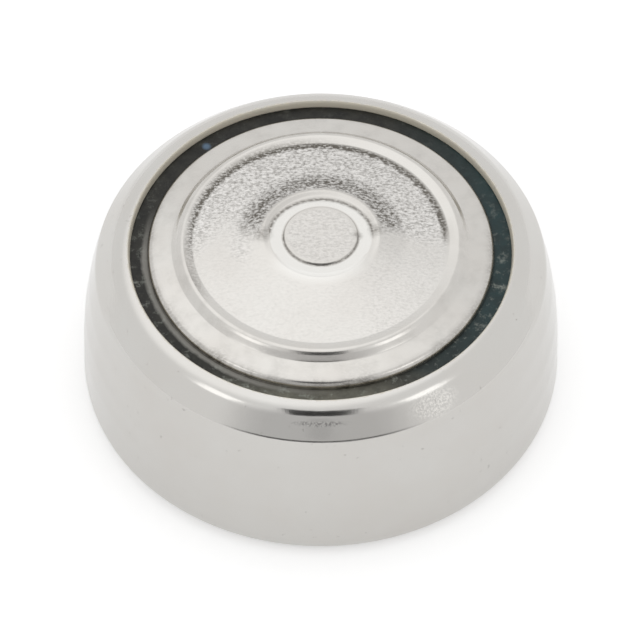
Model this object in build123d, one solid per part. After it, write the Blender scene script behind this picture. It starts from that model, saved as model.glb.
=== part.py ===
from build123d import *
import math
import os

# A button cell, in millimetres. The axis is +Z and the origin is the centre of the base.
# The positive can stands on the floor, and the negative cap faces up.

# Positive can: a drawn steel cup whose rim is rolled in over the gasket
can_radius = 5.80
can_wall = 0.25
base_corner_radius = 0.55
draw_start_height = 1.55
crimp_line_height = 4.02
crimp_line_inset = 0.30
crimp_line_radius = 0.30
rim_reach = 1.11
rim_height = 4.70
rim_rise_at_crimp = 11.0
rim_rise_at_opening = 30.0
rim_crown_radius = 0.60
rim_edge_radius = 0.09

# Negative cap: a pressed steel cap with a stepped top and a folded skirt
cap_sheet = 0.20
gasket_wall = 0.48
fold_gap = 0.04
fold_leg_height = 1.40
shoulder_drop = 0.58
shoulder_bend_radius = 0.26
groove_width = 0.44
neck_root_radius = 0.12
flange_width = 0.62
flange_drop = 0.02
flange_bend_radius = 0.20
flange_rise = 0.13

# Ridge: a bead pressed up inside the flange, with a facet on its outer side
ridge_skirt_width = 0.12
ridge_skirt_rise = 0.12
ridge_facet_width = 0.10
ridge_facet_rise = 0.08
ridge_root_radius = 0.07
ridge_facet_radius = 0.10
ridge_crest_radius = 0.14

# Contact field: a frosted dish that climbs to a crater with a raised centre
dish_width = 0.26
dish_drop = 0.045
dish_edge_radius = 0.06
slope_share = 0.65
slope_rise = 0.115
slope_bend_radius = 1.20
crater_radius = 1.42
crater_rise = 0.175
crater_crest_radius = 0.10
crater_depth = 0.055
crater_wall_width = 0.12
pip_radius = 0.89
pip_rise = 0.06
pip_draft = 0.03
relief_blend_radius = 0.03

# Gasket: a moulded ring that wraps the cap's skirt, with a foot under its fold
gasket_foot = 0.26
gasket_groove_depth = 0.20
foot_width = 0.87

# Contents
pellet_height = 1.50
separator_thickness = 0.12

# Heights and radii that follow from the sizes above
can_bore_radius = can_radius - can_wall
rim_opening_radius = can_radius - rim_reach
pellet_top = can_wall + pellet_height
separator_top = pellet_top + separator_thickness
fold_bottom = separator_top + gasket_foot
fold_width = 2 * cap_sheet + fold_gap
fold_outer_radius = can_bore_radius - gasket_wall
skirt_radius = fold_outer_radius - cap_sheet - fold_gap
foot_opening_radius = fold_outer_radius - foot_width
neck_radius = rim_opening_radius - groove_width
ridge_outer_radius = neck_radius - flange_width
facet_radius = ridge_outer_radius - ridge_skirt_width
ridge_radius = facet_radius - ridge_facet_width
field_radius = ridge_radius - dish_width
slope_radius = field_radius - slope_share * (field_radius - crater_radius)
shoulder_height = rim_height - shoulder_drop
flange_height = rim_height - flange_drop
ridge_foot = flange_height + flange_rise
facet_height = ridge_foot + ridge_skirt_rise
ridge_height = facet_height + ridge_facet_rise
field_height = ridge_height - dish_drop
slope_height = field_height + slope_rise
crater_height = slope_height + crater_rise
crater_floor_height = crater_height - crater_depth
cell_height = crater_floor_height + pip_rise
groove_height = rim_height - gasket_groove_depth


def inset_path(corners, radii, depth):
    """Moves a rounded path to its left by a depth, as the other face of a sheet lies."""
    points = [Vector(*corner) for corner in corners]
    headings = [(end - start).normalized() for start, end in zip(points, points[1:])]
    normals = [Vector(-heading.Y, heading.X) for heading in headings]
    moved = [points[0] + normals[0] * depth]
    rounded = []
    for index in range(1, len(points) - 1):
        before, after = normals[index - 1], normals[index]
        moved.append(points[index] + (before + after) * (depth / (1 + before.dot(after))))
        bends_left = headings[index - 1].cross(headings[index]).Z > 0
        rounded.append(max(radii[index - 1] + (-depth if bends_left else depth), 0))
    moved.append(points[-1] + normals[-1] * depth)
    return [(point.X, point.Y) for point in moved], rounded


def filled_under(corners, radii):
    """Fills the half section between the axis and a rounded path that runs upwards."""
    (low_radius, low_height), (high_radius, high_height) = corners[0], corners[-1]
    with BuildSketch(Plane.XZ) as section:
        with BuildLine():
            FilletPolyline(*corners, radius=radii)
            if high_radius > 0:
                Line((high_radius, high_height), (0, high_height))
            Line((0, high_height), (0, low_height))
            if low_radius > 0:
                Line((0, low_height), (low_radius, low_height))
        make_face()
    return section.sketch


def band(low_radius, high_radius, low_height, high_height):
    """A rectangle in the half section."""
    with BuildSketch(Plane.XZ) as section:
        with BuildLine():
            Polyline(
                (low_radius, low_height),
                (high_radius, low_height),
                (high_radius, high_height),
                (low_radius, high_height),
                close=True,
            )
        make_face()
    return section.sketch


def can_path():
    """The outer face of the can, from the centre of the base to the rim's opening."""
    draw_rise = crimp_line_height - draw_start_height
    draw_angle = 2 * math.atan(crimp_line_inset / draw_rise)
    draw_tangent = draw_rise / (1 + math.cos(draw_angle))
    crimp = Vector(can_radius - crimp_line_inset, crimp_line_height)
    opening = Vector(rim_opening_radius, rim_height)
    chord = opening - crimp
    chord_slope = math.atan2(chord.Y, -chord.X)
    first_slope = chord_slope + math.radians(rim_rise_at_crimp)
    crown_turn = math.radians(rim_rise_at_crimp + rim_rise_at_opening)
    first_length = chord.length * math.sin(math.radians(rim_rise_at_opening)) / math.sin(crown_turn)
    last_length = chord.length * math.sin(math.radians(rim_rise_at_crimp)) / math.sin(crown_turn)
    crown = crimp + Vector(-math.cos(first_slope), math.sin(first_slope)) * first_length
    crimp_turn = math.pi / 2 - first_slope - draw_angle
    crimp_tangent = crimp_line_radius * math.tan(crimp_turn / 2)
    draw_radius = (draw_tangent - 1.1 * crimp_tangent) / math.tan(draw_angle / 2)
    crown_room = last_length - 2 * rim_edge_radius
    crown_radius = min(rim_crown_radius, crown_room / math.tan(crown_turn / 2))
    corners = [
        (0, 0),
        (can_radius, 0),
        (can_radius, draw_start_height + draw_tangent),
        (crimp.X, crimp.Y),
        (crown.X, crown.Y),
        (opening.X, opening.Y),
    ]
    radii = [base_corner_radius, draw_radius, crimp_line_radius, crown_radius]
    return corners, radii


def can_section():
    """The can's sheet: its outer face, the square-cut rim and its inner face."""
    corners, radii = can_path()
    inner_corners, inner_radii = inset_path(corners, radii, can_wall)
    with BuildSketch(Plane.XZ) as section:
        with BuildLine():
            FilletPolyline(
                *corners,
                *reversed(inner_corners),
                radius=[*radii, rim_edge_radius, rim_edge_radius, *reversed(inner_radii)],
            )
            Line((0, can_wall), (0, 0))
        make_face()
    return section.sketch


def cap_step_path(start_height):
    """The outer face of the cap's sheet, from the skirt to the dish inside the ridge."""
    corners = [
        (skirt_radius, start_height),
        (skirt_radius, shoulder_height),
        (neck_radius, shoulder_height),
        (neck_radius, flange_height),
        (ridge_outer_radius, ridge_foot),
        (ridge_radius, ridge_height),
        (field_radius, field_height),
    ]
    radii = [
        shoulder_bend_radius,
        neck_root_radius,
        flange_bend_radius,
        ridge_root_radius,
        ridge_crest_radius,
    ]
    return corners, radii


def cap_outer_section():
    """Everything under the cap's outer face, with the dish, the crater and its raised centre."""
    corners, radii = cap_step_path(fold_bottom + fold_width / 2)
    corners.insert(5, (facet_radius, facet_height))
    radii.insert(4, ridge_facet_radius)
    relief = [
        (slope_radius, slope_height),
        (crater_radius, crater_height),
        (crater_radius - crater_wall_width, crater_floor_height),
        (pip_radius + pip_draft, crater_floor_height),
        (pip_radius, cell_height),
        (0, cell_height),
    ]
    relief_radii = [dish_edge_radius, slope_bend_radius, crater_crest_radius] + [relief_blend_radius] * 3
    return filled_under(corners + relief, radii + relief_radii)


def cap_inner_section():
    """The space inside the cap, down to the level of its fold."""
    corners, radii = cap_step_path(fold_bottom)
    corners += [(slope_radius, slope_height), (0, slope_height)]
    radii += [dish_edge_radius, slope_bend_radius]
    inner_corners, inner_radii = inset_path(corners, radii, cap_sheet)
    return filled_under(inner_corners, inner_radii)


def fold_section():
    """The skirt's fold: two legs joined by a round bend, open at the top of the outer leg."""
    centre_radius = fold_outer_radius - fold_width / 2
    bend_height = fold_bottom + fold_width / 2
    leg_top = fold_bottom + fold_leg_height
    legs = band(skirt_radius - cap_sheet, fold_outer_radius, bend_height, leg_top)
    with BuildSketch(Plane.XZ) as bend:
        with Locations((centre_radius, bend_height)):
            Circle(fold_width / 2)
    return legs + bend.sketch


def button_cell():
    """The half section of each piece, worked from the outside in."""
    can = can_section()
    interior = filled_under(*can_path()) - can
    cap_outer = cap_outer_section()
    cap_inner = cap_inner_section()
    fold = fold_section()
    slot = band(skirt_radius, skirt_radius + fold_gap, fold_bottom + cap_sheet, fold_bottom + fold_leg_height)
    cap = (cap_outer + fold) - cap_inner - slot
    blank = band(foot_opening_radius, can_radius, separator_top, groove_height)
    gasket = (interior & blank) - cap_outer - fold - cap_inner
    return {
        "positive_can": can,
        "cathode_pellet": interior & band(0, can_radius, 0, pellet_top),
        "separator_disc": interior & band(0, can_radius, pellet_top, separator_top),
        "absorbent_pad": band(0, foot_opening_radius, separator_top, fold_bottom),
        "zinc_anode": cap_inner,
        "sealing_gasket": gasket,
        "negative_cap": cap,
    }


os.makedirs("parts", exist_ok=True)
for name, section in button_cell().items():
    solid = revolve(section, Axis.Z)
    print(name, [round(piece.volume, 3) for piece in solid.solids()])
    export_step(solid, f"parts/{name}.step")
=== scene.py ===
import math

import bmesh
import bpy
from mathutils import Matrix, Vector, noise


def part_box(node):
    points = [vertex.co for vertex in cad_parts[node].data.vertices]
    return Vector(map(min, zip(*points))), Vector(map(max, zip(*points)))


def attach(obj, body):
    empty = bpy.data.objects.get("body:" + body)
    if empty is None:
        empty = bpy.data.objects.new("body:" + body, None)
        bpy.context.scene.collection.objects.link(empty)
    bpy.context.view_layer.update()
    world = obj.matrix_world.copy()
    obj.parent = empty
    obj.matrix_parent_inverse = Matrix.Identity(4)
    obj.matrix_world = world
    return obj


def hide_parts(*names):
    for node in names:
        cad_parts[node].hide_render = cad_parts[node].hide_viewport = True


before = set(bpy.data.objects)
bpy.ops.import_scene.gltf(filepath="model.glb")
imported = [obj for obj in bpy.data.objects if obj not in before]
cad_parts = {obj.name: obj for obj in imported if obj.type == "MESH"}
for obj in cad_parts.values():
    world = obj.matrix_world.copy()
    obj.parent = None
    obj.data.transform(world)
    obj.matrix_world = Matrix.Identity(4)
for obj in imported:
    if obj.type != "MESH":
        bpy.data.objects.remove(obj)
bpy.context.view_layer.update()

MM = 0.001

# Positive can
# A cup drawn from steel strip and plated with nickel. Its wall is drawn in towards the top
# and the rim is rolled over the gasket, which leaves a crease line round the shoulder.

can_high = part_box("positive_can")[1]
can_radius = can_high.x / MM
rim_rounding = 0.0143
rim_height = can_high.z / MM + rim_rounding
can_wall = 0.25
base_corner = 0.55
draw_start = 1.55
crimp_line = Vector((can_radius - 0.30, 4.02))
rim_opening = Vector((4.69, rim_height))
rim_edge = 0.09
spin_steps = 288


def rounded_profile(corners, spacing, bend_step=4):
    """A wire in the XZ plane through (radius, height, corner radius) points, closed."""
    bm = bmesh.new()
    verts = [bm.verts.new((r * MM, 0, z * MM)) for r, z, _ in corners]
    ring = list(zip(verts, verts[1:] + verts[:1]))
    for start, end in ring:
        if start.co.x > 0 or end.co.x > 0:
            bm.edges.new((start, end))
    for index, (r, z, bend) in enumerate(corners):
        if bend == 0:
            continue
        before = Vector(corners[index - 1][:2]) - Vector((r, z))
        after = Vector(corners[(index + 1) % len(corners)][:2]) - Vector((r, z))
        turn = math.pi - before.angle(after)
        bmesh.ops.bevel(
            bm, geom=[verts[index]], offset=bend * MM * math.tan(turn / 2), offset_type="OFFSET",
            segments=max(3, round(turn / math.radians(bend_step))), profile=0.5,
            affect="VERTICES", material=-1)
    for edge in [e for e in bm.edges if e.calc_length() > 1.5 * spacing * MM]:
        cuts = int(edge.calc_length() / (spacing * MM))
        bmesh.ops.subdivide_edges(bm, edges=[edge], cuts=cuts)
    return bm


def spun(bm, steps):
    """Turns a profile round the axis into a closed shell whose faces point outwards."""
    bmesh.ops.spin(
        bm, geom=bm.verts[:] + bm.edges[:], cent=(0, 0, 0), axis=(0, 0, 1), dvec=(0, 0, 0),
        angle=2 * math.pi, steps=steps, use_merge=True, use_normal_flip=False, use_duplicate=False)
    bmesh.ops.remove_doubles(bm, verts=bm.verts, dist=1e-8)
    bmesh.ops.recalc_face_normals(bm, faces=bm.faces)
    return bm


def finished(bm, name, material):
    """Makes the object of a finished bmesh, smooth but for its sharp edges."""
    mesh = bpy.data.meshes.new(name)
    bm.to_mesh(mesh)
    bm.free()
    mesh.shade_smooth()
    mesh.set_sharp_from_angle(angle=math.radians(50))
    mesh.materials.append(material)
    piece = bpy.data.objects.new(name, mesh)
    bpy.context.scene.collection.objects.link(piece)
    return piece


def node_adder(tree):
    """A short call that adds a node to a tree and sets or joins its inputs."""

    def add(kind, inputs=None, **settings):
        node = tree.nodes.new(kind)
        for key, value in settings.items():
            setattr(node, key, value)
        for key, value in (inputs or {}).items():
            if isinstance(value, bpy.types.NodeSocket):
                tree.links.new(value, node.inputs[key])
            else:
                node.inputs[key].default_value = value
        return node

    return add


def new_material(name):
    """A material with one Principled shader, its node tree and the call that adds nodes."""
    material = bpy.data.materials.new(name)
    material.use_nodes = True
    tree = material.node_tree
    return material, tree.nodes["Principled BSDF"], tree, node_adder(tree)


def plated_steel(name, colour, roughness, smudge_size, scratch_depth):
    """Bright nickel over steel: faint smudges in its gloss, hair scratches and small pits."""
    material, shader, tree, add = new_material(name)
    shader.inputs["Metallic"].default_value = 1
    place = add("ShaderNodeTexCoord").outputs["Object"]
    smudge = add("ShaderNodeTexNoise", {
        "Vector": place, "Scale": 1 / (smudge_size * MM), "Detail": 5, "Roughness": 0.6})
    gloss = add("ShaderNodeMapRange", {
        "Value": smudge.outputs["Fac"], "From Min": 0.3, "From Max": 0.75,
        "To Min": roughness, "To Max": roughness * 1.7})
    tree.links.new(gloss.outputs["Result"], shader.inputs["Roughness"])
    tint = add("ShaderNodeMix", data_type="RGBA")
    tree.links.new(smudge.outputs["Fac"], tint.inputs["Factor"])
    tint.inputs["A"].default_value = (*colour, 1)
    tint.inputs["B"].default_value = (colour[0] * 0.93, colour[1] * 0.90, colour[2] * 0.88, 1)
    tree.links.new(tint.outputs["Result"], shader.inputs["Base Color"])
    hair = add("ShaderNodeTexNoise", {
        "Vector": add("ShaderNodeMapping", {"Vector": place, "Rotation": (0.3, 0.5, 0.9),
                                            "Scale": (22000, 1200, 2500)}).outputs["Vector"],
        "Scale": 1.0, "Detail": 3})
    pits = add("ShaderNodeTexVoronoi", {"Vector": place, "Scale": 2600})
    pit = add("ShaderNodeMapRange", {
        "Value": pits.outputs["Distance"], "From Min": 0.02, "From Max": 0.10, "To Min": 0, "To Max": 1})
    height = add("ShaderNodeMath", {0: hair.outputs["Fac"], 1: pit.outputs["Result"]}, operation="MULTIPLY")
    wave = add("ShaderNodeTexNoise", {"Vector": place, "Scale": 1 / (0.55 * MM), "Detail": 2})
    swell = add("ShaderNodeBump", {
        "Strength": 1.0, "Distance": 0.004 * MM, "Height": wave.outputs["Fac"]})
    bump = add("ShaderNodeBump", {
        "Strength": 1.0, "Distance": scratch_depth * MM, "Height": height.outputs["Value"],
        "Normal": swell.outputs["Normal"]})
    tree.links.new(bump.outputs["Normal"], shader.inputs["Normal"])
    return material, shader, tree, add


def inset(corners, depth):
    """The other face of a sheet: the same corners moved to the left, with their new bends."""
    points = [Vector(c[:2]) for c in corners]
    heads = [(b - a).normalized() for a, b in zip(points, points[1:])]
    sides = [Vector((-h.y, h.x)) for h in heads]
    moved = [(*(points[0] + sides[0] * depth), 0)]
    for i in range(1, len(points) - 1):
        both = sides[i - 1] + sides[i]
        left = heads[i - 1].x * heads[i].y - heads[i - 1].y * heads[i].x > 0
        bend = corners[i][2] + (-depth if left else depth)
        moved.append((*(points[i] + both * (depth / (1 + sides[i - 1].dot(sides[i])))), max(bend, 0)))
    moved.append((*(points[-1] + sides[-1] * depth), 0))
    return moved


draw_rise = crimp_line.y - draw_start
draw_angle = 2 * math.atan((can_radius - crimp_line.x) / draw_rise)
draw_tangent = draw_rise / (1 + math.cos(draw_angle))
draw_bend = 0.94 * draw_tangent / math.tan(draw_angle / 2)
chord = rim_opening - crimp_line
rise_out, rise_in = math.radians(11), math.radians(30)
crown_slope = math.atan2(chord.y, -chord.x) + rise_out
crown_reach = chord.length * math.sin(rise_in) / math.sin(rise_out + rise_in)
crown = crimp_line + Vector((-math.cos(crown_slope), math.sin(crown_slope))) * crown_reach
can_outer = [
    (0, 0, 0),
    (can_radius, 0, base_corner),
    (can_radius, draw_start + draw_tangent, draw_bend),
    (*crimp_line, 0.30),
    (*crown, 0.60),
    (*rim_opening, 0),
]
can_inner = inset(can_outer, can_wall)
can_outer[-1] = (*rim_opening, rim_edge)
can_inner[-1] = (*can_inner[-1][:2], rim_edge)
can_profile = rounded_profile(can_outer + can_inner[::-1], 0.14)
nickel, shader, tree, add = plated_steel("can_nickel", (0.615, 0.610, 0.590), 0.11, 2.2, 0.0004)
place = add("ShaderNodeTexCoord").outputs["Object"]
flat_place = add("ShaderNodeVectorMath", {0: place, 1: (1, 1, 0)}, operation="MULTIPLY")
from_axis = add("ShaderNodeVectorMath", {0: flat_place.outputs["Vector"]}, operation="LENGTH")
lip_noise = add("ShaderNodeTexNoise", {"Vector": place, "Scale": 1 / (0.12 * MM), "Detail": 4})
lip_shift = add("ShaderNodeMath", {0: lip_noise.outputs["Fac"], 1: 0.09 * MM, 2: -0.045 * MM},
                operation="MULTIPLY_ADD")
lip_place = add("ShaderNodeMath", {0: from_axis.outputs["Value"], 1: lip_shift.outputs["Value"]},
                operation="ADD")
lip = add("ShaderNodeMapRange", {
    "Value": lip_place.outputs["Value"], "From Min": 4.69 * MM, "From Max": 4.75 * MM,
    "To Min": 0.85, "To Max": 0.0})
plain = shader.inputs["Base Color"].links[0].from_socket
edged = add("ShaderNodeMix", data_type="RGBA")
tree.links.new(lip.outputs["Result"], edged.inputs["Factor"])
tree.links.new(plain, edged.inputs["A"])
edged.inputs["B"].default_value = (0.62, 0.57, 0.46, 1)
shine = add("ShaderNodeMapRange", {
    "Value": lip.outputs["Result"], "From Min": 0.0, "From Max": 0.85, "To Min": 1.0, "To Max": 0.05})
tree.links.new(shine.outputs["Result"], shader.inputs["Metallic"])
gloss = shader.inputs["Roughness"].links[0].from_socket
dull = add("ShaderNodeMath", {0: lip.outputs["Result"], 1: 0.35, 2: gloss}, operation="MULTIPLY_ADD")
colour = edged.outputs["Result"]
grit = add("ShaderNodeTexNoise", {"Vector": place, "Scale": 1 / (0.05 * MM), "Detail": 3})
normal = shader.inputs["Normal"].links[0].from_socket
# Two flecked patches on the crown band, with grit bumps and a little more roughness. The pale one, on the
# right front, is a painted highlight, a lamp's reflection; the dark one, straight in front below the rim's
# dark reflected dash, is a painted dark reflection.
for middle, reach, reflection_colour, start, end in (
        ((2.75, -4.45, 4.28), (0.75, 0.75, 0.34), (0.80, 0.78, 0.74, 1), 0.42, 0.62),
        ((0.0, -5.22, 4.375), (0.80, 0.40, 0.070), (0.24, 0.23, 0.225, 1), 0.44, 0.62)):
    away = add("ShaderNodeMapping", {
        "Vector": place, "Location": [-m / r for m, r in zip(middle, reach)],
        "Scale": [1 / (r * MM) for r in reach]})
    away = add("ShaderNodeVectorMath", {0: away.outputs["Vector"]}, operation="LENGTH")
    patch = add("ShaderNodeMapRange", {
        "Value": away.outputs["Value"], "From Min": 0.5, "From Max": 1.0, "To Min": 1.0, "To Max": 0.0})
    flecks = add("ShaderNodeMapRange", {
        "Value": grit.outputs["Fac"], "From Min": start, "From Max": end, "To Min": 0.0, "To Max": 0.75})
    amount = add("ShaderNodeMath", {0: patch.outputs["Result"], 1: flecks.outputs["Result"]},
                 operation="MULTIPLY")
    reflection_patch = add("ShaderNodeMix", data_type="RGBA")
    tree.links.new(amount.outputs["Value"], reflection_patch.inputs["Factor"])
    tree.links.new(colour, reflection_patch.inputs["A"])
    reflection_patch.inputs["B"].default_value = reflection_colour
    colour = reflection_patch.outputs["Result"]
    scuff = add("ShaderNodeBump", {
        "Strength": patch.outputs["Result"], "Distance": 0.006 * MM, "Height": grit.outputs["Fac"],
        "Normal": normal})
    normal = scuff.outputs["Normal"]
    dull = add("ShaderNodeMath", {0: patch.outputs["Result"], 1: 0.10, 2: dull.outputs["Value"]},
               operation="MULTIPLY_ADD")
spots = add("ShaderNodeTexNoise", {"Vector": place, "Scale": 1 / (0.16 * MM), "Detail": 2})
spots = add("ShaderNodeMapRange", {
    "Value": spots.outputs["Fac"], "From Min": 0.70, "From Max": 0.78, "To Min": 0.0, "To Max": 0.4})
spotted = add("ShaderNodeMix", data_type="RGBA")
tree.links.new(spots.outputs["Result"], spotted.inputs["Factor"])
tree.links.new(colour, spotted.inputs["A"])
spotted.inputs["B"].default_value = (0.30, 0.28, 0.26, 1)
tree.links.new(dull.outputs["Value"], shader.inputs["Roughness"])
tree.links.new(spotted.outputs["Result"], shader.inputs["Base Color"])
tree.links.new(normal, shader.inputs["Normal"])
can = finished(spun(can_profile, spin_steps), "can_shell", nickel)
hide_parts("positive_can")
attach(can, "root")

# Cathode pellet, separator disc, absorbent pad and zinc anode
# The sealed contents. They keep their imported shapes, and get their own finishes: pressed
# black oxide powder, a smooth pale membrane, damp fibre and a grey metal paste.


def grainy(name, colour, dark, grain, roughness, depth, metallic=0.0):
    """A matt, granular finish in two tones."""
    material, shader, tree, add = new_material(name)
    place = add("ShaderNodeTexCoord").outputs["Object"]
    grains = add("ShaderNodeTexNoise", {"Vector": place, "Scale": 1 / (grain * MM), "Detail": 6})
    tone = add("ShaderNodeMix", data_type="RGBA")
    tree.links.new(grains.outputs["Fac"], tone.inputs["Factor"])
    tone.inputs["A"].default_value = (*dark, 1)
    tone.inputs["B"].default_value = (*colour, 1)
    tree.links.new(tone.outputs["Result"], shader.inputs["Base Color"])
    shader.inputs["Roughness"].default_value = roughness
    shader.inputs["Metallic"].default_value = metallic
    bump = add("ShaderNodeBump", {"Distance": depth * MM, "Height": grains.outputs["Fac"]})
    tree.links.new(bump.outputs["Normal"], shader.inputs["Normal"])
    return material


contents = {
    "cathode_pellet": grainy("pressed_oxide", (0.07, 0.07, 0.075), (0.02, 0.02, 0.02), 0.12, 0.8, 0.02),
    "separator_disc": grainy("membrane", (0.88, 0.86, 0.80), (0.80, 0.78, 0.71), 0.30, 0.5, 0.004),
    "absorbent_pad": grainy("damp_fibre", (0.90, 0.89, 0.86), (0.74, 0.73, 0.70), 0.08, 0.9, 0.02),
    "zinc_anode": grainy("zinc_paste", (0.50, 0.51, 0.53), (0.22, 0.23, 0.25), 0.15, 0.45, 0.03, 0.7),
}
for node, finish in contents.items():
    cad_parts[node].data.materials.clear()
    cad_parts[node].data.materials.append(finish)

# Sealing gasket
# A dark ring moulded in nylon, painted with a film of sealant, which shows in the groove
# between the rim and the cap. Its outside takes the shape of the can and its inside the cap's.

gasket_finish, shader, tree, add = new_material("gasket_sealant")
place = add("ShaderNodeTexCoord").outputs["Object"]
film = add("ShaderNodeTexNoise", {"Vector": place, "Scale": 1 / (0.38 * MM), "Detail": 6, "Roughness": 0.70})
film_tone = add("ShaderNodeValToRGB", {"Fac": film.outputs["Fac"]})
ramp = film_tone.color_ramp
ramp.elements[0].position, ramp.elements[0].color = 0.35, (0.004, 0.004, 0.003, 1)
ramp.elements[1].position, ramp.elements[1].color = 0.72, (0.030, 0.029, 0.023, 1)
where = add("ShaderNodeSeparateXYZ", {"Vector": place})
film_colour = film_tone.outputs["Color"]
for axis, start, end, colour, strength in (
        ("X", 1.6, 4.2, (0.010, 0.034, 0.037, 1), 0.85),
        ("Y", -3.6, -4.4, (0.150, 0.145, 0.115, 1), 0.80)):
    amount = add("ShaderNodeMapRange", {
        "Value": where.outputs[axis], "From Min": start * MM, "From Max": end * MM,
        "To Min": 0, "To Max": strength})
    amount = add("ShaderNodeMath", {0: amount.outputs["Result"], 1: film.outputs["Fac"]},
                 operation="MULTIPLY")
    amount = add("ShaderNodeMath", {0: amount.outputs["Value"], 1: 1.8},
                 operation="MULTIPLY", use_clamp=True)
    stain = add("ShaderNodeMix", data_type="RGBA")
    tree.links.new(amount.outputs["Value"], stain.inputs["Factor"])
    tree.links.new(film_colour, stain.inputs["A"])
    stain.inputs["B"].default_value = colour
    film_colour = stain.outputs["Result"]
flat_place = add("ShaderNodeVectorMath", {0: place, 1: (1, 1, 0)}, operation="MULTIPLY")
from_axis = add("ShaderNodeVectorMath", {0: flat_place.outputs["Vector"]}, operation="LENGTH")
ragged = add("ShaderNodeMath", {0: film.outputs["Fac"], 1: 0.16 * MM, 2: from_axis.outputs["Value"]},
             operation="MULTIPLY_ADD")
beside = add("ShaderNodeMapRange", {
    "Value": ragged.outputs["Value"], "From Min": 4.41 * MM, "From Max": 4.49 * MM,
    "To Min": 0.75, "To Max": 0.0})
left = add("ShaderNodeMapRange", {
    "Value": where.outputs["X"], "From Min": 0.5 * MM, "From Max": -2.0 * MM, "To Min": 0.0, "To Max": 1.0})
front = add("ShaderNodeMapRange", {
    "Value": where.outputs["Y"], "From Min": 1.5 * MM, "From Max": 0.0, "To Min": 0.0, "To Max": 1.0})
residue = add("ShaderNodeMath", {0: left.outputs["Result"], 1: front.outputs["Result"]},
              operation="MULTIPLY")
residue = add("ShaderNodeMath", {0: residue.outputs["Value"], 1: beside.outputs["Result"]},
              operation="MULTIPLY")
paled = add("ShaderNodeMix", data_type="RGBA")
tree.links.new(residue.outputs["Value"], paled.inputs["Factor"])
tree.links.new(film_colour, paled.inputs["A"])
paled.inputs["B"].default_value = (0.30, 0.29, 0.265, 1)
film_colour = paled.outputs["Result"]
crumbs = add("ShaderNodeTexNoise", {
    "Vector": place, "Scale": 1 / (0.24 * MM), "Detail": 6, "Roughness": 0.75})
crumb = add("ShaderNodeMapRange", {
    "Value": crumbs.outputs["Fac"], "From Min": 0.54, "From Max": 0.74, "To Min": 0, "To Max": 0.75})
sides = add("ShaderNodeMapRange", {
    "Value": where.outputs["Y"], "From Min": 2.5 * MM, "From Max": -1.0 * MM, "To Min": 0.15, "To Max": 1.0})
crumb = add("ShaderNodeMath", {0: crumb.outputs["Result"], 1: sides.outputs["Result"]},
            operation="MULTIPLY")
speckled = add("ShaderNodeMix", data_type="RGBA")
tree.links.new(crumb.outputs["Value"], speckled.inputs["Factor"])
tree.links.new(film_colour, speckled.inputs["A"])
speckled.inputs["B"].default_value = (0.36, 0.38, 0.34, 1)
fleck = add("ShaderNodeVectorMath", {0: place, 1: (-2.80 * MM, 3.42 * MM, 4.5 * MM)}, operation="DISTANCE")
fleck = add("ShaderNodeMapRange", {
    "Value": fleck.outputs["Value"], "From Min": 0.05 * MM, "From Max": 0.13 * MM,
    "To Min": 0.8, "To Max": 0})
blue = add("ShaderNodeMix", data_type="RGBA")
tree.links.new(fleck.outputs["Result"], blue.inputs["Factor"])
tree.links.new(speckled.outputs["Result"], blue.inputs["A"])
blue.inputs["B"].default_value = (0.12, 0.19, 0.28, 1)
tree.links.new(blue.outputs["Result"], shader.inputs["Base Color"])
shader.inputs["Roughness"].default_value = 0.38
shader.inputs["Specular IOR Level"].default_value = 0.3
film_bump = add("ShaderNodeBump", {"Distance": 0.02 * MM, "Height": film.outputs["Fac"]})
tree.links.new(film_bump.outputs["Normal"], shader.inputs["Normal"])
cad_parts["sealing_gasket"].data.materials.clear()
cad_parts["sealing_gasket"].data.materials.append(gasket_finish)

# Negative cap
# A stepped cap pressed from plated steel. Its contact field is coined with a frosted grain,
# with a smooth ring and a raised centre, and its skirt is folded back inside the gasket.

cap_low, cap_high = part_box("negative_cap")
cap_sheet = 0.20
fold_gap = 0.04
fold_leg = 1.40
fold_out = cap_high.x / MM
fold_floor = cap_low.z / MM
skirt = fold_out - cap_sheet - fold_gap
neck = 4.25
ridge_outer, facet, ridge = 3.63, 3.51, 3.41
field_edge = 3.15
slope = 2.0255
crater_edge = 1.42
pip_edge = 0.89
shoulder_height = rim_height - 0.58
flange_height = rim_height - 0.02
ridge_foot = flange_height + 0.13
slope_height = ridge_foot + 0.27
cap_top = cap_high.z / MM
crater_floor = cap_top - 0.06
pip_top = cap_top - 0.002
cap_outer = [
    (skirt, fold_floor + 0.22, 0),
    (skirt, shoulder_height, 0.26),
    (neck, shoulder_height, 0.12),
    (neck, flange_height, 0.20),
    (ridge_outer, ridge_foot, 0.07),
    (facet, ridge_foot + 0.12, 0.10),
    (ridge, ridge_foot + 0.20, 0.14),
    (field_edge, ridge_foot + 0.155, 0.06),
    (slope, slope_height, 1.20),
    (crater_edge, crater_floor + 0.055, 0.10),
    (crater_edge - 0.12, crater_floor, 0.03),
    (pip_edge + 0.03, crater_floor, 0.03),
    (pip_edge, pip_top, 0.03),
    (0, pip_top, 0),
]
cap_inner = inset([*cap_outer[:5], *cap_outer[6:9], (0, slope_height, 0)], cap_sheet)
fold_profile = [
    (skirt - cap_sheet, fold_floor, 0.20),
    (fold_out, fold_floor, 0.20),
    (fold_out, fold_floor + fold_leg, 0),
    (fold_out - cap_sheet, fold_floor + fold_leg, 0),
    (fold_out - cap_sheet, fold_floor + cap_sheet, 0),
    (skirt, fold_floor + cap_sheet, 0),
]
cap_profile = rounded_profile(fold_profile + cap_outer[1:] + cap_inner[:0:-1], 0.60, 8)
dish_floor = 4.93
dish_out = field_edge + 0.2
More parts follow.
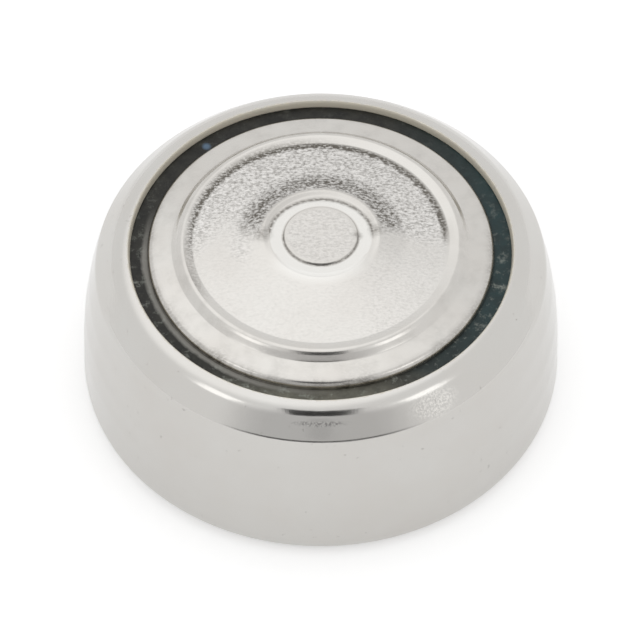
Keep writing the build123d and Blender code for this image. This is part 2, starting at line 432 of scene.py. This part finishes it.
for low, high, inner, outer, spacing in (
        (dish_floor, 5.30, 0.80, field_edge + 0.03, 0.035),
        (dish_floor, 5.30, 0, pip_edge + 0.01, 0.10),
        (4.40, 5.05, dish_out, neck + 0.01, 0.10)):
    for edge in [e for e in cap_profile.edges if e.calc_length() > 1.4 * spacing * MM
                 and all(low < v.co.z / MM < high and inner <= v.co.x / MM <= outer for v in e.verts)]:
        cuts = int(edge.calc_length() / (spacing * MM))
        bmesh.ops.subdivide_edges(cap_profile, edges=[edge], cuts=cuts)
cap_nickel, shader, tree, add = plated_steel("cap_nickel", (0.63, 0.62, 0.595), 0.15, 1.6, 0.0004)
frost_level = add("ShaderNodeAttribute", attribute_name="frost").outputs["Fac"]
shade_and_soot_level = add("ShaderNodeAttribute", attribute_name="shade_and_soot").outputs["Fac"]
painted_highlight_level = add("ShaderNodeAttribute", attribute_name="painted_highlight").outputs["Fac"]
place = add("ShaderNodeTexCoord").outputs["Object"]
grain_place = add("ShaderNodeVectorMath", {0: place, 1: (0.60, 1.0, 1.0)}, operation="MULTIPLY")
specks = add("ShaderNodeTexNoise", {
    "Vector": grain_place.outputs["Vector"], "Scale": 1 / (0.054 * MM), "Detail": 4, "Roughness": 0.66})
speck = add("ShaderNodeMapRange", {
    "Value": specks.outputs["Fac"], "From Min": 0.42, "From Max": 0.70, "To Min": 0, "To Max": 1.0})
line = add("ShaderNodeMapRange", {
    "Value": specks.outputs["Fac"], "From Min": 0.30, "From Max": 0.55, "To Min": 0.15, "To Max": 1.0})
# Dark specks in the frost's grain: painted shade with some dirt.
dark = add("ShaderNodeMath", {0: speck.outputs["Result"], 1: frost_level}, operation="MULTIPLY")
# Painted shade, with some soot, along the cap's edges and creases and on the far slope.
shade_and_soot_dark = add("ShaderNodeMath", {0: line.outputs["Result"], 1: shade_and_soot_level}, operation="MULTIPLY")
dark = add("ShaderNodeMath", {0: dark.outputs["Value"], 1: shade_and_soot_dark.outputs["Value"]},
           operation="ADD", use_clamp=True)
plain = shader.inputs["Base Color"].links[0].from_socket
darkened = add("ShaderNodeMix", data_type="RGBA")
tree.links.new(dark.outputs["Value"], darkened.inputs["Factor"])
clean = add("ShaderNodeMix", data_type="RGBA")
tree.links.new(frost_level, clean.inputs["Factor"])
tree.links.new(plain, clean.inputs["A"])
clean.inputs["B"].default_value = (0.72, 0.705, 0.685, 1)
# Painted highlight: a lighter colour on the crater's floor, the near field and the crater's near lip.
highlighted = add("ShaderNodeMix", data_type="RGBA")
tree.links.new(painted_highlight_level, highlighted.inputs["Factor"])
tree.links.new(clean.outputs["Result"], highlighted.inputs["A"])
highlighted.inputs["B"].default_value = (0.82, 0.82, 0.80, 1)
tree.links.new(highlighted.outputs["Result"], darkened.inputs["A"])
darkened.inputs["B"].default_value = (0.12, 0.11, 0.095, 1)
tree.links.new(darkened.outputs["Result"], shader.inputs["Base Color"])
grain_bump = add("ShaderNodeBump", {
    "Strength": frost_level, "Distance": 0.012 * MM, "Height": specks.outputs["Fac"],
    "Normal": shader.inputs["Normal"].links[0].from_socket})
tree.links.new(grain_bump.outputs["Normal"], shader.inputs["Normal"])
cap_mesh = spun(cap_profile, 384)
frost = cap_mesh.verts.layers.float.new("frost")
shade_and_soot = cap_mesh.verts.layers.float.new("shade_and_soot")
painted_highlight = cap_mesh.verts.layers.float.new("painted_highlight")


def near(value, middle, reach):
    """One at the middle and nothing beyond its reach."""
    return max(0, 1 - abs(value - middle) / reach)


def share(value):
    """A value held between nothing and one."""
    return min(1, max(0, value))


def flange_grime_and_shade(place, radius):
    """Grime on the flange, and painted shade on its edge along the groove, darker at the near side."""
    grime = max(0, noise.noise(place * 2.3) + 0.5 * noise.noise(place * 6.0) + 0.25)
    side = 1 if place.y < 1.5 else 0.4
    return 0.14 * grime + near(radius, neck, 0.20) * side * (0.30 + 0.35 * grime)


def worn_height(radius):
    """The near slope where rubbing has taken the crater's lip down to one smooth curve."""
    out = radius - worn_from
    return cap_top - 0.055 - 0.208 * out + 0.0576 * out * out


# The field was struck a little to the left and the front of the ridge's centre.
strike_offset = 0.09
arc_radius = crater_edge - 0.15
dark_ends = ((-1.42, 0.08, 0.30), (1.34, 0.20, 0.24), (0.90, 0.02, 0.16))
worn_from, worn_to = 1.28, 2.2
for vert in cap_mesh.verts:
    place = vert.co / MM
    radius = math.hypot(place.x, place.y)
    lowest = 4.45 if radius > dish_out else dish_floor
    if place.z < lowest or radius > neck + 0.05 or radius < 0.001:
        continue
    if radius > dish_out:
        vert[shade_and_soot] = flange_grime_and_shade(place, radius)
        continue
    patch = noise.noise(place * 1.1 + Vector((3.1, 0.4, 2.0)))
    around = math.hypot(place.x + strike_offset, place.y + strike_offset)
    arc = math.hypot(place.x, 1.09 * place.y)
    # Painted shade with some soot on the field's edge; painted shade in the far side of the crater's foot,
    # beside the near base of the raised centre, at the ends of the crater's arc and on the far slope.
    halo = near(radius, 1.74, 0.40) * share((place.y + 0.1 + 0.5 * patch) / 0.5)
    vert[shade_and_soot] = max(
        min(0.95, 1.5 * near(around, field_edge, 0.12))
        * share((place.y - 0.32 * place.x + 1.2 + 0.5 * patch) / 0.7),
        0.95 * near(arc, arc_radius, 0.085) * share((place.y + 0.10) / 0.25),
        0.8 * near(radius, 0.915, 0.045) * share((0.25 - place.y) / 0.3),
        0.7 * max(near(math.hypot(place.x - x, place.y - y), 0, reach) for x, y, reach in dark_ends),
        0.55 * halo)
    # The frost is whole on the far half and thin on the near one. Painted highlight lightens the crater's
    # floor, the near field and the near lip of the crater.
    if arc < crater_edge - 0.17:
        vert[frost] = 0.28 if radius < 0.86 else 0.0
        vert[painted_highlight] = 0.42 if radius > 0.95 else 0.0
    elif around < field_edge + 0.04:
        right = 0.22 * share((place.x - 0.2) / 1.2)
        whole = max(right, 0.12, min(1, place.y + 0.35 + 0.12 * abs(place.x) + 0.9 * patch))
        margin = share(min((radius - crater_edge - 0.04) / 0.06, (field_edge + 0.04 - around) / 0.06))
        vert[frost] = (0.80 * whole + 0.15 * halo) * margin
        vert[painted_highlight] = 0.11 * (1 - whole) * share((0.5 - 0.5 * place.y) / 1.2)
        if radius < 1.6:
            lip = 0.45 * share((-0.4 - place.y) / 0.6) * (1.6 - radius) / 0.33
            vert[painted_highlight] = max(vert[painted_highlight], lip)
    if worn_from < radius < worn_to:
        front = share((0.35 - place.y / radius) / 0.9)
        vert.co.z += (worn_height(radius) - place.z) * front * MM
    grain = noise.noise(place * 12) + 0.5 * noise.noise(place * 21 + Vector((5, 1, 0)))
    vert.co.z += grain * 0.008 * MM * vert[frost]
cap = finished(cap_mesh, "cap_shell", cap_nickel)
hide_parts("negative_cap")
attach(cap, "root")

# Studio
# A white table top in a white room that is a little darker behind the camera, with a soft
# box on each side and one overhead.

floor_mesh = bpy.data.meshes.new("table_top")
bm = bmesh.new()
bmesh.ops.create_grid(bm, x_segments=1, y_segments=1, size=3)
bm.to_mesh(floor_mesh)
bm.free()
floor = bpy.data.objects.new("table_top", floor_mesh)
floor.location.z = -0.00002
bpy.context.scene.collection.objects.link(floor)
floor_white, shader, tree, add = new_material("table_white")
shader.inputs["Base Color"].default_value = (0.86, 0.86, 0.86, 1)
shader.inputs["Roughness"].default_value = 0.9
rays = add("ShaderNodeLightPath")
seen = add("ShaderNodeMath", {0: rays.outputs["Is Camera Ray"], 1: rays.outputs["Is Glossy Ray"]},
           operation="MAXIMUM")
seen = add("ShaderNodeMath", {0: seen.outputs["Value"], 1: rays.outputs["Is Transmission Ray"]},
           operation="MAXIMUM")
lift = add("ShaderNodeMath", {0: seen.outputs["Value"], 1: 0.29}, operation="MULTIPLY")
lift = add("ShaderNodeMath", {0: rays.outputs["Is Camera Ray"], 1: 0.07, 2: lift.outputs["Value"]},
           operation="MULTIPLY_ADD")
shader.inputs["Emission Color"].default_value = (1, 1, 1, 1)
tree.links.new(lift.outputs["Value"], shader.inputs["Emission Strength"])
floor_mesh.materials.append(floor_white)


def soft_box(name, azimuth, elevation, distance, width, height, power):
    """A rectangular soft box that faces the object, at an azimuth from the camera's side."""
    light = bpy.data.lights.new(name, "AREA")
    light.shape = "RECTANGLE"
    light.size = width
    light.size_y = height
    light.energy = power
    box = bpy.data.objects.new(name, light)
    turn, rise = math.radians(azimuth), math.radians(elevation)
    direction = Vector((math.sin(turn) * math.cos(rise), -math.cos(turn) * math.cos(rise), math.sin(rise)))
    box.location = direction * distance
    box.rotation_euler = direction.to_track_quat("Z", "Y").to_euler()
    bpy.context.scene.collection.objects.link(box)
    return box


soft_box("box_right", 57, 46, 0.8, 0.22, 0.22, 0.12)
soft_box("box_left", -57, 46, 0.8, 0.22, 0.22, 0.12)
soft_box("box_over", 0, 86, 0.8, 0.9, 0.9, 0.84).visible_glossy = False

world = bpy.data.worlds.new("studio")
bpy.context.scene.world = world
world.use_nodes = True
sky = world.node_tree
background = sky.nodes["Background"]
background.inputs["Color"].default_value = (1, 1, 1, 1)
sky_node = node_adder(sky)
rays = sky_node("ShaderNodeLightPath")
way = sky_node("ShaderNodeTexCoord").outputs["Generated"]
facing = sky_node("ShaderNodeVectorMath", {0: way, 1: (0, -0.94, 0.34)}, operation="DOT_PRODUCT")
room = sky_node("ShaderNodeMapRange", {
    "Value": facing.outputs["Value"], "From Min": 0.70, "From Max": 0.93, "To Min": 1.0, "To Max": 0.68},
    interpolation_type="SMOOTHSTEP")
spot = sky_node("ShaderNodeVectorMath", {0: way, 1: (0, -0.883, 0.469)}, operation="DOT_PRODUCT")
spot = sky_node("ShaderNodeMapRange", {
    "Value": spot.outputs["Value"], "From Min": 0.992, "From Max": 0.999, "To Min": 1.0, "To Max": 0.84},
    interpolation_type="SMOOTHSTEP")
split = sky_node("ShaderNodeSeparateXYZ", {"Vector": way})
above = sky_node("ShaderNodeVectorMath", {0: way, 1: (-0.21, 0.27, 0.94)}, operation="DOT_PRODUCT")
above = sky_node("ShaderNodeMapRange", {
    "Value": above.outputs["Value"], "From Min": 0.80, "From Max": 0.97, "To Min": 1.0, "To Max": 1.32},
    interpolation_type="SMOOTHSTEP")
low = sky_node("ShaderNodeMapRange", {
    "Value": split.outputs["Z"], "From Min": 0.14, "From Max": 0.26, "To Min": 0.85, "To Max": 0.0},
    interpolation_type="SMOOTHSTEP")
front = sky_node("ShaderNodeMapRange", {
    "Value": split.outputs["Y"], "From Min": -0.92, "From Max": -0.70, "To Min": 1.0, "To Max": 0.0},
    interpolation_type="SMOOTHSTEP")
strip = sky_node("ShaderNodeMath", {0: low.outputs["Result"], 1: front.outputs["Result"]},
                 operation="MULTIPLY")
strip = sky_node("ShaderNodeMath", {0: 1.0, 1: strip.outputs["Value"]}, operation="SUBTRACT")
room = sky_node("ShaderNodeMath", {0: room.outputs["Result"], 1: spot.outputs["Result"]},
                operation="MULTIPLY")
room = sky_node("ShaderNodeMath", {0: room.outputs["Value"], 1: strip.outputs["Value"]},
                operation="MULTIPLY")
room = sky_node("ShaderNodeMath", {0: room.outputs["Value"], 1: above.outputs["Result"]},
                operation="MULTIPLY")
kept = sky_node("ShaderNodeMath", {0: rays.outputs["Is Camera Ray"], 1: rays.outputs["Is Diffuse Ray"]},
                operation="MAXIMUM")
level = sky_node("ShaderNodeMix", {"Factor": kept.outputs["Value"], "A": room.outputs["Value"], "B": 1.0},
                 data_type="FLOAT")
dim = sky_node("ShaderNodeMix", {"Factor": rays.outputs["Is Diffuse Ray"], "A": level.outputs["Result"],
                                 "B": 0.75}, data_type="FLOAT")
sky.links.new(dim.outputs["Result"], background.inputs["Strength"])

# Camera
# A long lens that looks down at 51 degrees, as the photograph does. Its dark front is the
# card that the near parts of the rings reflect.

eye_rise = math.radians(50.96)
eye_distance = 0.6
aim = Vector((-0.02 * MM, 0, 1.969 * MM))
eye_way = Vector((0, -math.cos(eye_rise), math.sin(eye_rise)))
camera_data = bpy.data.cameras.new("camera")
camera_data.sensor_width = 36
camera_data.lens = 1378.485
camera_data.clip_start = 0.01
camera_data.clip_end = 20
camera = bpy.data.objects.new("camera", camera_data)
camera.location = aim + eye_way * eye_distance
camera.rotation_euler = eye_way.to_track_quat("Z", "Y").to_euler()
bpy.context.scene.collection.objects.link(camera)
bpy.context.scene.camera = camera

card_width, card_height = 0.24, 0.22
card_lift = Vector((0, 0.035, 0.03))
lens_mesh = bpy.data.meshes.new("lens_front")
bm = bmesh.new()
bmesh.ops.create_grid(bm, x_segments=1, y_segments=1, size=0.5)
bmesh.ops.scale(bm, vec=(card_width, card_height, 1), verts=bm.verts)
bmesh.ops.rotate(bm, verts=bm.verts, cent=(0, 0, 0),
                 matrix=eye_way.to_track_quat("Z", "Y").to_matrix())
bmesh.ops.translate(bm, vec=aim + eye_way * 0.58 + card_lift, verts=bm.verts)
bm.to_mesh(lens_mesh)
bm.free()
lens_front = bpy.data.objects.new("lens_front", lens_mesh)
lens_front.visible_camera = False
lens_front.visible_diffuse = False
lens_front.visible_shadow = False
bpy.context.scene.collection.objects.link(lens_front)
lens_black, shader, *_ = new_material("lens_black")
shader.inputs["Base Color"].default_value = (0.02, 0.02, 0.02, 1)
shader.inputs["Roughness"].default_value = 0.6
lens_mesh.materials.append(lens_black)

bpy.context.scene.view_settings.view_transform = "Standard"
